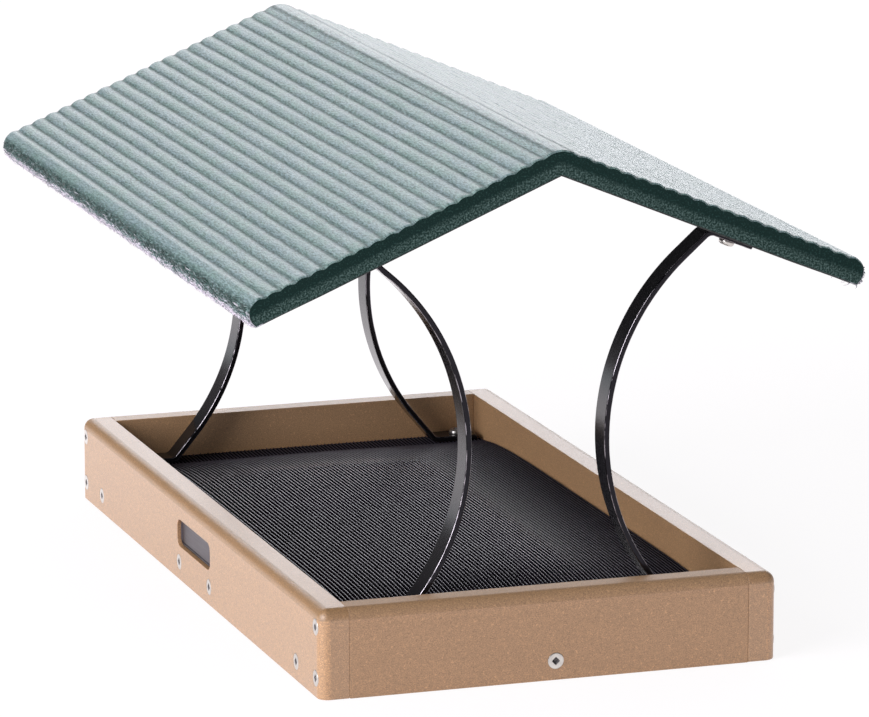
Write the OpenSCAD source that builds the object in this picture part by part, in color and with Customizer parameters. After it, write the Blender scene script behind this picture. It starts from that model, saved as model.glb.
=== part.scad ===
// Platform bird feeder: a screwed tray of plastic lumber with a wire screen floor,
// and a thick ribbed roof bent at the ridge, carried by four bowed flat bars.
// X runs along the short end boards, Y along the ridge, Z up.
// The origin is the centre of the tray's underside. Sizes are in millimetres.

/* [Tray] */
// Width of the tray over the side boards
tray_w = 235; // [210:1:280]
// Length of the tray over the side boards
tray_l = 430; // [380:1:500]
// Height of the four boards
tray_h = 44.5; // [40:0.5:60]
// Thickness of the four boards
board_t = 15; // [13:0.5:18]
// Radius of the outer upright corners and the outer top edges
edge_r = 5.5; // [3:0.5:7]

/* [Floor] */
// Height of the ledge strips, which stand on the ground with the boards
ledge_h = 22; // [19:0.5:24]
// Width of the ledge strips
ledge_w = 22; // [20:0.5:26]
// Clearance at the ends of the short ledge strips
ledge_gap = 0.3; // [0.1:0.1:1]
// Thickness of the wire screen
screen_t = 1.2; // [1:0.1:1.6]
// Clearance between the screen and the boards
screen_gap = 1; // [0.5:0.1:2]
// Gaps across the width of the screen
gaps_x = 8; // [4:1:8]
// Gaps along the length of the screen
gaps_y = 15; // [7:1:15]
// Width of the screen's ribs between its gaps
rib_w = 3; // [2:0.5:5]
// How far the sides of the screen bow up between the bars
side_bow = 4.5; // [0:0.5:6]
// How much higher than its sides the middle of the screen bows
crown = 6; // [0:0.5:7]
// Clearance between the bowed stretch of the screen and the bars
bow_gap = 1.5; // [0.5:0.5:4]

/* [Roof] */
// Height of the underside of the ridge above the ground
ridge_h = 251; // [235:1:290]
// Length of the roof along the ridge
roof_l = 455; // [420:1:520]
// Slope of each side in degrees
pitch = 22.7; // [18:0.1:28]
// Thickness of the roof board at the valleys between its ribs
roof_t = 12.1; // [10:0.1:15]
// Ribs on each side
roof_ribs = 19; // [14:1:22]
// Spacing of the ribs down the slope
rib_pitch = 7.9; // [7:0.1:9]
// Height of a rib above its valleys
rib_h = 1.1; // [0.6:0.1:1.8]
// Distance of the first valley from the ridge, down the slope
first_valley = 4.75; // [3:0.25:6]
// Height of the ridge bump above the first valleys
ridge_bump = 3.4; // [2.5:0.1:4.5]
// Radius of the rounded nose along each eave
nose_r = 8; // [7:0.1:9]
// Distance from the last valley to the centre of the nose
nose_run = 3.65; // [2:0.05:5]

/* [Struts] */
// Width of the flat bar
bar_w = 14; // [12:0.5:18]
// Thickness of the flat bar
bar_t = 2.8; // [2:0.1:4]
// Distance of the bars from the ends of the tray
strut_inset = 19.6; // [18:0.2:24]
// Distance of the bend under the roof from the ridge, measured level
top_reach = 88.2; // [78:0.2:100]
// Depth of the bow, from the line through the two bends
bow = 45.7; // [36:0.1:56]
// Length of the straight stretch at each end of the bow
end_run = 17.5; // [12:0.5:40]
// Length of the tab at each end of a bar
tab_l = 24; // [20:0.5:26]
// Clearance between the foot tabs and the side boards
foot_gap = 4.2; // [2:0.1:8]
// Radius of the bends, to the middle of the bar
bend_r = 5; // [4:0.5:8]
// Distance of the screws from the free ends of the tabs
tab_screw = 10; // [8:0.5:13]

/* [Name plate] */
// Length of the recess for the plate
plate_l = 59; // [40:1:90]
// Height of the recess for the plate
plate_h = 14; // [10:0.5:18]
// Corner radius of the recess
plate_r = 4.5; // [2:0.5:5]
// Height of the middle of the plate above the ground
plate_z = 25.3; // [22:0.1:28]
// Depth of the recess
recess_d = 3; // [2:0.5:5]
// Thickness of the plate
plate_t = 1.2; // [0.8:0.1:1.8]
// Clearance round the plate
plate_gap = 0.3; // [0.1:0.1:0.6]

/* [Screws] */
// Diameter of the flat heads
flat_head_d = 8.4; // [7:0.1:9.5]
// Height of the flat heads
flat_head_h = 2.6; // [2:0.1:3]
// Diameter of the screw shanks
shank_d = 3.8; // [3:0.1:4.5]
// Clearance round a shank in the piece that it passes through
pass_gap = 0.3; // [0.1:0.1:0.6]
// Clearance round a shank in the piece that it grips
grip_gap = 0.05; // [0.02:0.01:0.1]
// Clearance round a flat head in its countersink
head_gap = 0.1; // [0.05:0.05:0.3]
// Length of the screws at the corners
corner_screw_l = 38; // [30:1:45]
// Length of the screws into the ledge strips
ledge_screw_l = 31; // [25:1:33]
// Length of the pointed end of a screw
point_l = 4; // [3:0.5:6]
// Height of the lower screws above the ground
low_screw_z = 9.6; // [7:0.1:11]
// Height of the upper corner screws above the ground
high_screw_z = 35; // [33:0.5:37]
// Distance of the outer ledge screws from the ends of the tray
row_end = 39; // [36:1:60]
// Distance of the inner ledge screws from the middle of the tray
row_mid = 27; // [20:1:60]
// Distance of the end ledge screws to the right of the middle
end_screw_x = 2.5; // [0:0.5:30]
// Width of the square drive recesses
drive_w = 2.8; // [2.4:0.1:3]
// Depth of the square drive recesses
drive_d = 1.6; // [1:0.1:2]
// Diameter of the pan heads
pan_head_d = 8; // [7:0.1:9]
// Height of the pan heads
pan_head_h = 2.6; // [2:0.1:3]
// Radius of the rounded edge of the pan heads
pan_edge_r = 1.4; // [0.8:0.1:1.8]
// Length of the pan-head screws in the feet, under the head
foot_screw_l = 17; // [12:1:19]
// Length of the pan-head screws in the roof, under the head
roof_screw_l = 12; // [9:0.5:13]

/* [Hidden] */
$fn = 96;
eps = 0.01;

lumber = [0.71, 0.58, 0.46];
lumber_cut = [0.62, 0.50, 0.39];
roof_green = [0.10, 0.22, 0.21];
coated_black = [0.10, 0.10, 0.11];
screen_black = [0.07, 0.07, 0.08];
zinc = [0.80, 0.80, 0.79];
plate_grey = [0.36, 0.35, 0.37];

// The room between the boards
inner_w = tray_w - 2 * board_t;
inner_l = tray_l - 2 * board_t;

// The outline of the roof's right half, in s down the slope from the underside of the ridge
// and n square to it, away from the underside
last_valley = first_valley + roof_ribs * rib_pitch;
nose_s = last_valley + nose_run;
nose_n = roof_t + rib_h - nose_r;
rib_r = (pow(rib_pitch / 2, 2) + pow(rib_h, 2)) / (2 * rib_h);
// How far the ridge bump fills the first valleys
valley_fill = 0.05;
valley_x = first_valley * cos(pitch) + roof_t * sin(pitch);
valley_z = ridge_h - first_valley * sin(pitch) + roof_t * cos(pitch) + valley_fill;
bump_r = (pow(valley_x, 2) + pow(ridge_bump, 2)) / (2 * ridge_bump);
roof_reach = (nose_s + nose_r) * cos(pitch) + roof_t;

// The flat bars, drawn on the right of the tray along the bar's middle: the corner of the foot,
// the corner under the roof, and between them an arc with a straight stretch at each end, bowed
// towards the middle of the tray
foot_z = ledge_h + screen_t + bar_t / 2;
foot_end = inner_w / 2 - foot_gap;
foot_corner = [foot_end - tab_l, foot_z];
top_corner = [top_reach, ridge_h - top_reach * tan(pitch) - bar_t / 2 / cos(pitch)];
half_chord = norm(top_corner - foot_corner) / 2;
chord_up = (top_corner - foot_corner) / 2 / half_chord;
wanted_r = (pow(half_chord, 2) + pow(bow, 2) - pow(end_run, 2)) / (2 * bow);
bow_r = round(wanted_r * 100) / 100;
bow_c = (foot_corner + top_corner) / 2 + (bow_r - bow) * [chord_up.y, -chord_up.x];
straight_l = sqrt(pow(half_chord, 2) + pow(bow_r - bow, 2) - pow(bow_r, 2));
function bearing(from, to) = (atan2(to.y - from.y, to.x - from.x) + 360) % 360;
foot_turn = 270 - bearing(bow_c, foot_corner) + atan(straight_l / bow_r);
top_turn = bearing(bow_c, top_corner) + atan(straight_l / bow_r) - 90 + pitch;
foot_set = bend_r * tan(foot_turn / 2);
top_set = bend_r * tan(top_turn / 2);
// A straight stretch is thinner than a bend by this much on each face, which keeps their faces apart
step = 0.004;
// The bends, starting from the foot's free end, as [straight length before it, radius, turn]
bar_bends = [[tab_l - foot_set, bend_r, foot_turn],
             [straight_l - foot_set, bow_r, 180 + pitch - foot_turn - top_turn],
             [straight_l - top_set, bend_r, top_turn]];
top_end_s = top_reach / cos(pitch) - bar_t / 2 * tan(pitch) + tab_l;
strut_y = tray_l / 2 - strut_inset - bar_w / 2;
foot_screw_x = foot_end - tab_screw;
roof_screw_s = top_end_s - tab_screw;
roof_screw_x = roof_screw_s * cos(pitch);

// The screen's lines of ribs and gaps, and its height at any point
screen_w = inner_w - 2 * screen_gap;
screen_l = inner_l - 2 * screen_gap;
gap_field_w = inner_w - 2 * ledge_w - 2 * rib_w;
bow_half = strut_y - bar_w / 2 - bow_gap;
function gap_lines(field, count, rib) =
    [for (i = [0:count - 1]) each [-field / 2 + i * (field + rib) / count,
                                   -field / 2 + (i + 1) * (field + rib) / count - rib]];
xs = concat([-screen_w / 2], gap_lines(gap_field_w, gaps_x, rib_w), [screen_w / 2]);
ys = concat([-screen_l / 2], gap_lines(2 * bow_half, gaps_y, rib_w), [screen_l / 2]);
function lengthwise(y) = abs(y) < bow_half ? 1 - pow(abs(y) / bow_half, 6) : 0;
function screen_z(x, y) =
    ledge_h + lengthwise(y) * (side_bow + crown * (1 - pow(2 * x / screen_w, 2)));

// Places of the screws along the boards
corner_y = tray_l / 2 - board_t / 2;
row_ys = [-(tray_l / 2 - row_end), -row_mid, row_mid, tray_l / 2 - row_end];

// A screw with its head's face at z = 0 and its point at z = -length
module drive_recess(top) {
    translate([0, 0, top - drive_d / 2 + eps]) rotate(45)
        cube([drive_w, drive_w, drive_d + 2 * eps], center = true);
}

module flat_screw(length) {
    difference() {
        rotate_extrude()
            polygon([[0, 0], [flat_head_d / 2, 0], [shank_d / 2, -flat_head_h],
                     [shank_d / 2, point_l - length], [0, -length]]);
        drive_recess(0);
    }
}

module pan_screw(length) {
    difference() {
        rotate_extrude() {
            square([pan_head_d / 2, pan_head_h - pan_edge_r]);
            square([pan_head_d / 2 - pan_edge_r, pan_head_h]);
            translate([pan_head_d / 2 - pan_edge_r, pan_head_h - pan_edge_r])
                intersection() {
                    circle(pan_edge_r);
                    square(pan_edge_r);
                }
            polygon([[0, 0], [shank_d / 2, 0], [shank_d / 2, point_l - length], [0, -length]]);
        }
        drive_recess(pan_head_h);
    }
}

// What a flat screw takes out of the board that it passes through
module countersink(depth) {
    rotate_extrude()
        polygon([[0, eps], [flat_head_d / 2 + head_gap + eps, eps],
                 [shank_d / 2 + pass_gap, -flat_head_h - head_gap + pass_gap],
                 [shank_d / 2 + pass_gap, -depth - eps], [0, -depth - eps]]);
}

// What a screw takes out of the piece that it grips, between two depths under its head
module pilot(from, to) {
    translate([0, 0, -to - grip_gap])
        cylinder(h = to - from + grip_gap + eps, d = shank_d + 2 * grip_gap);
}

module at_left_corners() {
    for (y = [-corner_y, corner_y])
        for (z = [low_screw_z, high_screw_z])
            translate([-tray_w / 2, y, z]) rotate([0, -90, 0]) children();
}

module at_left_row() {
    for (y = row_ys)
        translate([-tray_w / 2, y, low_screw_z]) rotate([0, -90, 0]) children();
}

module at_front() {
    translate([end_screw_x, -tray_l / 2, low_screw_z]) rotate([90, 0, 0]) children();
}

module at_feet() {
    for (y = [-strut_y, strut_y])
        for (side = [-1, 1])
            translate([side * foot_screw_x, y, foot_z + bar_t / 2]) children();
}

module at_roof_tabs() {
    for (y = [-strut_y, strut_y])
        for (side = [0, 1])
            mirror([side, 0, 0])
                translate([0, y, ridge_h]) rotate([0, pitch, 0])
                    translate([roof_screw_s, 0, -bar_t]) rotate([180, 0, 0]) children();
}

module to_right() {
    mirror([1, 0, 0]) children();
}

module to_rear() {
    mirror([0, 1, 0]) children();
}

// The outer shape of the whole tray as one block, with its upright corners and top edges rounded
module tray_block() {
    core_w = tray_w - 2 * edge_r;
    core_l = tray_l - 2 * edge_r;
    intersection() {
        linear_extrude(tray_h) rounded_rect(tray_w, tray_l, edge_r);
        union() {
            linear_extrude(tray_h - edge_r) square([tray_w, tray_l], center = true);
            linear_extrude(tray_h) square([core_w, core_l], center = true);
            for (x = [-core_w / 2, core_w / 2])
                translate([x, 0, tray_h - edge_r]) rotate([90, 0, 0])
                    cylinder(h = core_l, r = edge_r, center = true);
            for (y = [-core_l / 2, core_l / 2])
                translate([0, y, tray_h - edge_r]) rotate([0, 90, 0])
                    cylinder(h = core_w, r = edge_r, center = true);
            for (x = [-core_w / 2, core_w / 2])
                for (y = [-core_l / 2, core_l / 2])
                    translate([x, y, tray_h - edge_r]) sphere(edge_r);
        }
    }
}

module rounded_rect(w, l, r) {
    square([w - 2 * r, l], center = true);
    square([w, l - 2 * r], center = true);
    for (x = [-w / 2 + r, w / 2 - r])
        for (y = [-l / 2 + r, l / 2 - r])
            translate([x, y]) circle(r);
}

module plate_outline(gap) {
    rotate([90, 0, -90]) linear_extrude(recess_d + 1)
        rounded_rect(plate_l - 2 * gap, plate_h - 2 * gap, plate_r - gap);
}

module drilled_left_board() {
    difference() {
        intersection() {
            tray_block();
            translate([-tray_w / 2, -tray_l / 2, 0]) cube([board_t, tray_l, tray_h]);
        }
        at_left_corners() countersink(board_t);
        at_left_row() countersink(board_t);
    }
}

module left_side_board() {
    color(lumber)
        difference() {
            drilled_left_board();
            translate([-tray_w / 2 + recess_d, 0, plate_z]) plate_outline(0);
        }
}

module right_side_board() {
    color(lumber) to_right() drilled_left_board();
}

module front_end_board() {
    color(lumber)
        difference() {
            intersection() {
                tray_block();
                translate([-inner_w / 2, -tray_l / 2, 0]) cube([inner_w, board_t, tray_h]);
            }
            at_front() countersink(board_t);
            at_left_corners() pilot(board_t, corner_screw_l);
            to_right() at_left_corners() pilot(board_t, corner_screw_l);
        }
}

module rear_end_board() {
    to_rear() front_end_board();
}

module left_ledge_strip() {
    color(lumber_cut)
        difference() {
            translate([-inner_w / 2, -inner_l / 2, 0]) cube([ledge_w, inner_l, ledge_h]);
            at_left_row() pilot(board_t, ledge_screw_l);
            at_feet() pilot(bar_t + screen_t, foot_screw_l);
        }
}

module right_ledge_strip() {
    to_right() left_ledge_strip();
}

module front_ledge_strip() {
    length = inner_w - 2 * ledge_w - 2 * ledge_gap;
    color(lumber_cut)
        difference() {
            translate([-length / 2, -inner_l / 2, 0]) cube([length, ledge_w, ledge_h]);
            at_front() pilot(board_t, ledge_screw_l);
        }
}

module rear_ledge_strip() {
    to_rear() front_ledge_strip();
}

// The screen is a sheet on a grid of lines. Its gaps are the cells that lie between two ribs
// both ways, and the sheet follows screen_z over the rest.
module mesh_screen() {
    nx = len(xs);
    ny = len(ys);
    under = nx * ny;
    points = concat([for (y = ys) for (x = xs) [x, y, screen_z(x, y) + screen_t]],
                    [for (y = ys) for (x = xs) [x, y, screen_z(x, y)]]);
    function solid(i, j) =
        i >= 0 && j >= 0 && i < nx - 1 && j < ny - 1 && (i % 2 == 0 || j % 2 == 0);
    function at(i, j) = j * nx + i;
    function two(a, b, c, d) = [[a, b, c], [a, c, d]];
    faces = [for (j = [0:ny - 2]) for (i = [0:nx - 2]) if (solid(i, j))
        each concat(
            two(at(i, j), at(i, j + 1), at(i + 1, j + 1), at(i + 1, j)),
            two(under + at(i, j), under + at(i + 1, j),
                under + at(i + 1, j + 1), under + at(i, j + 1)),
            solid(i, j - 1) ? [] :
                two(at(i, j), at(i + 1, j), under + at(i + 1, j), under + at(i, j)),
            solid(i, j + 1) ? [] :
                two(at(i + 1, j + 1), at(i, j + 1), under + at(i, j + 1), under + at(i + 1, j + 1)),
            solid(i - 1, j) ? [] :
                two(at(i, j + 1), at(i, j), under + at(i, j), under + at(i, j + 1)),
            solid(i + 1, j) ? [] :
                two(at(i + 1, j), at(i + 1, j + 1), under + at(i + 1, j + 1), under + at(i + 1, j)))];
    color(screen_black)
        difference() {
            polyhedron(points, faces);
            at_feet()
                translate([0, 0, -foot_screw_l])
                    cylinder(h = foot_screw_l, d = shank_d + 2 * pass_gap);
        }
}

module name_plate() {
    color(plate_grey)
        intersection() {
            translate([-tray_w / 2 + recess_d, 0, plate_z]) plate_outline(plate_gap);
            translate([-tray_w / 2 + recess_d - plate_t, -plate_l / 2, plate_z - plate_h / 2])
                cube([plate_t, plate_l, plate_h]);
        }
}

// A round stretch of the bar about the origin, from the top and clockwise
module bent_stretch(r, turn) {
    outer = r + bar_t / 2;
    intersection() {
        difference() {
            circle(outer);
            circle(r - bar_t / 2);
        }
        translate([0, -outer]) square([outer, 2 * outer]);
        rotate(-turn) translate([-outer, -outer]) square([outer, 2 * outer]);
    }
}

module straight_stretch(run) {
    translate([0, step - bar_t / 2]) square([run, bar_t - 2 * step]);
}

// The side view of the bar along +X, bent clockwise at each bend in turn, with a tab at the end
module bent_bar(bends, i = 0) {
    if (i < len(bends)) {
        run = bends[i][0];
        r = bends[i][1];
        turn = bends[i][2];
        straight_stretch(run);
        translate([run, -r]) {
            bent_stretch(r, turn);
            rotate(-turn) translate([0, r]) bent_bar(bends, i + 1);
        }
    } else {
        straight_stretch(tab_l - top_set);
    }
}

module front_right_strut() {
    color(coated_black)
        difference() {
            translate([0, -strut_y + bar_w / 2, 0]) rotate([90, 0, 0])
                linear_extrude(bar_w)
                    translate([foot_end, foot_z]) rotate(180) bent_bar(bar_bends);
            at_feet()
                translate([0, 0, -bar_t - eps])
                    cylinder(h = bar_t + 2 * eps, d = shank_d + 2 * pass_gap);
            at_roof_tabs()
                translate([0, 0, -bar_t - eps])
                    cylinder(h = bar_t + 2 * eps, d = shank_d + 2 * pass_gap);
        }
}

module front_left_strut() {
    to_right() front_right_strut();
}

module rear_right_strut() {
    to_rear() front_right_strut();
}

module rear_left_strut() {
    to_rear() to_right() front_right_strut();
}

// Ribs, nose and board of one slope, in s and n
module slope_outline() {
    intersection() {
        union() {
            square([nose_s, roof_t - rib_h]);
            for (i = [0:roof_ribs - 1])
                translate([first_valley + (i + 0.5) * rib_pitch, roof_t + rib_h - rib_r])
                    circle(rib_r);
            translate([nose_s, nose_n]) circle(nose_r);
        }
        square([nose_s + nose_r, roof_t + rib_h]);
    }
}

module roof_outline() {
    intersection() {
        union() {
            for (side = [0, 1])
                mirror([side, 0]) translate([0, ridge_h]) rotate(-pitch) slope_outline();
            translate([0, valley_z + ridge_bump - bump_r]) circle(bump_r);
        }
        polygon([[0, ridge_h],
                 [roof_reach, ridge_h - roof_reach * tan(pitch)],
                 [roof_reach, ridge_h + 2 * roof_t],
                 [-roof_reach, ridge_h + 2 * roof_t],
                 [-roof_reach, ridge_h - roof_reach * tan(pitch)]]);
    }
}

module roof() {
    color(roof_green)
        difference() {
            translate([0, roof_l / 2, 0]) rotate([90, 0, 0]) linear_extrude(roof_l) roof_outline();
            at_roof_tabs() pilot(bar_t, roof_screw_l);
        }
}

module left_corner_screws() {
    color(zinc) at_left_corners() flat_screw(corner_screw_l);
}

module right_corner_screws() {
    to_right() left_corner_screws();
}

module left_ledge_screws() {
    color(zinc) at_left_row() flat_screw(ledge_screw_l);
}

module right_ledge_screws() {
    to_right() left_ledge_screws();
}

module front_ledge_screw() {
    color(zinc) at_front() flat_screw(ledge_screw_l);
}

module rear_ledge_screw() {
    to_rear() front_ledge_screw();
}

module strut_foot_screws() {
    color(zinc) at_feet() pan_screw(foot_screw_l);
}

module strut_roof_screws() {
    color(zinc) at_roof_tabs() pan_screw(roof_screw_l);
}

left_side_board();
right_side_board();
front_end_board();
rear_end_board();
left_ledge_strip();
right_ledge_strip();
front_ledge_strip();
rear_ledge_strip();
mesh_screen();
name_plate();
front_left_strut();
front_right_strut();
rear_left_strut();
rear_right_strut();
roof();
left_corner_screws();
right_corner_screws();
left_ledge_screws();
right_ledge_screws();
front_ledge_screw();
rear_ledge_screw();
strut_foot_screws();
strut_roof_screws();
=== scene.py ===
"""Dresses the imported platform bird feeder: grained lumber boards, a woven wire screen, bowed
powder-coated bars, a ribbed roof with a torn fibrous surface, zinc screws and a bare metal plate.
Shapes are worked out in millimetres and put into the meshes in metres."""

import math

import bmesh
import bpy
import numpy as np
from bpy.props import FloatProperty, FloatVectorProperty, IntProperty, PointerProperty
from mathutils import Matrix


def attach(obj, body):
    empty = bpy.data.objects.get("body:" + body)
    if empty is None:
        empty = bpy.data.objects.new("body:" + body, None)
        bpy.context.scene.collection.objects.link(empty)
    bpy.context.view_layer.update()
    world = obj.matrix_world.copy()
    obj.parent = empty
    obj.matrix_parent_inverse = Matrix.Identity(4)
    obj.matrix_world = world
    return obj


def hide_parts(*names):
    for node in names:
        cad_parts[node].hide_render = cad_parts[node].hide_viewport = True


bl_info = {
    "name": "Platform feeder looks",
    "version": (1, 0, 0),
    "blender": (4, 5, 0),
    "location": "3D View > Sidebar > Feeder",
    "description": "Builds the visible pieces, materials and studio of a platform bird feeder",
    "category": "Object",
}

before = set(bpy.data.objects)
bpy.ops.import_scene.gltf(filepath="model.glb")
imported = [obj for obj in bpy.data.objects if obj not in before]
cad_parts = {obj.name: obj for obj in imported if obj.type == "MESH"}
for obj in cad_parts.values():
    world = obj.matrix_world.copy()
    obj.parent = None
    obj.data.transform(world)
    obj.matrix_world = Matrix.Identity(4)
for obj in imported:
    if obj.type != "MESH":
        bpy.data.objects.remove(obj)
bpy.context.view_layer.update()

MM = 0.001
BODY = "root"

# Sizes are in millimetres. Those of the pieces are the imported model's.

# Tray
TRAY_W = 235.0
TRAY_L = 430.0
TRAY_H = 44.5
BOARD_T = 15.0
EDGE_R = 5.5
INNER_W = TRAY_W - 2 * BOARD_T
INNER_L = TRAY_L - 2 * BOARD_T

# Faces less than LEVEL_ANGLE apart are one. Edges over SHARP_ANGLE are worn, and those below
# BOTTOM_Z more. Edges under HOLE_EDGE long and within SINK_REACH of a screw are a hole's.
LEVEL_ANGLE = math.radians(0.4)
SHARP_ANGLE = math.radians(50)
BOTTOM_Z = 0.2
HOLE_EDGE = 1.2
SINK_REACH = 5.5

# Screen on its ledge strips. Long wires dip by WEAVE_DIP and are WIRE_SPREAD as wide as high.
LEDGE_H = 22.0
SCREEN_T = 1.2
SCREEN_GAP = 1.0
SCREEN_W = INNER_W - 2 * SCREEN_GAP
SCREEN_L = INNER_L - 2 * SCREEN_GAP
SIDE_BOW = 4.5
CROWN = 6.0
BOW_HALF = 179.9
WEAVE_DIP = 0.3
WIRE_SIDES = 4
WIRE_SPREAD = 1.4
CROSS_STEPS = 24

# Roof
RIDGE_H = 251.0
ROOF_L = 455.0
ROOF_HALF_W = 156.2
PITCH = math.radians(22.7)
COS, SIN = math.cos(PITCH), math.sin(PITCH)
ROOF_T = 12.1
ROOF_RIBS = 19
RIB_PITCH = 7.9
RIB_H = 1.1
FIRST_VALLEY = 4.75
LAST_VALLEY = FIRST_VALLEY + ROOF_RIBS * RIB_PITCH
RIDGE_BUMP = 3.4
NOSE_R = 8.0
NOSE_RUN = 3.65
NOSE_S = LAST_VALLEY + NOSE_RUN
NOSE_N = ROOF_T + RIB_H - NOSE_R

# How much smaller the dressed roof is at its ends, all over and at its nose, how far its sawn
# edges are rounded and its valleys blurred, and where a rib has its points
END_SPARE = 0.2
SKIN_SPARE = 0.04
NOSE_SPARE = 0.3
SAWN_EDGE = 0.7
VALLEY_SOFT = 0.42
RIB_STOPS = (0.0, 0.05, 0.13, 0.28, 0.5, 0.72, 0.87, 0.95)
ROOF_ROWS = 205

# Points over the ridge bump, the rise to the nose, the nose and the underside
BUMP_STEPS, RISE_STEPS, NOSE_STEPS, UNDER_STEPS = 15, 7, 26, 24

# How far the ribs are sunk, by how much short and long waves change that, and how far they wander
MEAN_SINK, SHORT_WAVES, LONG_WAVES, WANDER = 0.14, 0.20, 0.14, 0.30

# Fibres: lengths, half widths, and least, usual and greatest angle round the nose
FIBRE_LENGTHS = (3.0, 11.0)
FIBRE_RADII = (0.16, 0.42)
FIBRE_ANGLES = (40, 112, 130)

# Points on every rounded edge of the bars and the roof
ROUND_STEPS = 4

# Bars
BAR_W = 14.0
BAR_T = 2.8
STRUT_Y = 188.4
TOP_REACH = 88.2
BOW = 45.7
END_RUN = 17.5
TAB_L = 24.0
FOOT_GAP = 4.2
BEND_R = 5.0
TAB_SCREW = 10.0

# Plate
PLATE_L = 58.4
PLATE_H = 13.4
PLATE_R = 4.2
PLATE_Z = 25.3
PLATE_STEPS = 12
RECESS_D = 3.0

# Screws
LOW_SCREW_Z = 9.6
HIGH_SCREW_Z = 35.0
END_SCREW_X = 2.5
ROW_YS = (-176.0, -27.0, 27.0, 176.0)
CORNER_Y = TRAY_L / 2 - BOARD_T / 2
CORNER_SCREW_L, ROW_SCREW_L, FOOT_SCREW_L, ROOF_SCREW_L = 38.0, 31.0, 17.0, 12.0
SHANK_R = 1.9
POINT_L = 4.0
BLUNT_L = 1.2
SCREW_SPREAD = 32

# Stage: the floor's half width and the camera's place in metres, its turn, and its lens
FLOOR_HALF = 8.0
CAMERA_PLACE = (-0.9471, -2.8581, 0.7890)
CAMERA_TURN = (math.radians(90 - 12.63), 0, math.radians(-18.56))
CAMERA_LENS = 248.68


# Meshes


def tube_quads(rings, columns):
    """The quads between neighbouring points of a tube that is numbered ring by ring."""
    i, j = (part.ravel() for part in np.meshgrid(np.arange(rings - 1), np.arange(columns),
                                                 indexing="ij"))
    here, beside = i * columns + j, i * columns + (j + 1) % columns
    return np.stack([here, beside, beside + columns, here + columns], axis=1)


def fan(centre, ring):
    """The triangles from one point to each stretch of a closed ring of points."""
    return np.stack([np.full(len(ring), centre), ring, np.roll(ring, -1)], axis=1)


def repeated(faces, count, step):
    """The same faces on count copies of a shape of step points each."""
    return (faces[None] + step * np.arange(count)[:, None, None]).reshape(-1, faces.shape[1])


def corner_rounds(half_w, half_h, radius, steps):
    """The four round corners of a rectangle, in turn about it: steps points on each quarter of a
    circle of that radius."""
    angle = np.linspace(0, np.pi / 2, steps) + np.arange(4)[:, None] * np.pi / 2
    right, up = np.array([[1, -1, -1, 1], [1, 1, -1, -1]])[..., None]
    return np.stack([right * (half_w - radius) + radius * np.cos(angle),
                     up * (half_h - radius) + radius * np.sin(angle)], axis=-1)


def smooth_noise(shape, lengths, seed):
    """A field of smooth random numbers from -1 to 1. White noise is blurred in both directions by
    multiplying its spectrum with a bell curve, and cut at 2.5 times its usual size; lengths are
    the blurs in grid steps."""
    white = np.random.default_rng(seed).standard_normal(shape)
    u = np.fft.fftfreq(shape[0])[:, None] * lengths[0]
    v = np.fft.fftfreq(shape[1])[None, :] * lengths[1]
    bell = np.exp(-2 * np.pi ** 2 * (u ** 2 + v ** 2))
    soft = np.real(np.fft.ifft2(np.fft.fft2(white) * bell))
    return np.clip(soft / (2.5 * soft.std()), -1, 1)


def new_piece(name, points, faces, materials, nodes, which=None, flat=None, uv=None,
              values=None):
    """One mesh object at the origin, made of points in millimetres and arrays of faces with 3 or
    4 corners. which numbers each face's material, flat marks the faces that stay flat, uv is each
    point's place on an unrolled pattern, and values are named numbers at the points."""
    mesh = bpy.data.meshes.new(name)
    loops = np.concatenate([part.ravel() for part in faces]).astype(np.int32)
    sizes = np.concatenate([np.full(len(part), part.shape[1]) for part in faces])
    mesh.vertices.add(len(points))
    mesh.vertices.foreach_set("co", (points * MM).astype(np.float32).ravel())
    mesh.loops.add(len(loops))
    mesh.loops.foreach_set("vertex_index", loops)
    mesh.polygons.add(len(sizes))
    mesh.polygons.foreach_set("loop_start", (np.cumsum(sizes) - sizes).astype(np.int32))
    mesh.polygons.foreach_set("use_smooth", np.ones(len(sizes), bool) if flat is None else ~flat)
    if which is not None:
        mesh.polygons.foreach_set("material_index", which.astype(np.int32))
    mesh.update(calc_edges=True)
    if uv is not None:
        layer = mesh.uv_layers.new(name="unrolled")
        layer.data.foreach_set("uv", (uv[loops] * MM).astype(np.float32).ravel())
    for key, numbers in (values or {}).items():
        layer = mesh.attributes.new(key, "FLOAT", "POINT")
        layer.data.foreach_set("value", numbers.astype(np.float32))
    for material in materials:
        mesh.materials.append(material)
    return settle(bpy.data.objects.new(name, mesh), nodes)


def settle(piece, nodes):
    """Links a piece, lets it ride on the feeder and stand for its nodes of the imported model."""
    bpy.context.scene.collection.objects.link(piece)
    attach(piece, BODY)
    if nodes:
        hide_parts(*nodes)
    return piece


# Materials


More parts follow.
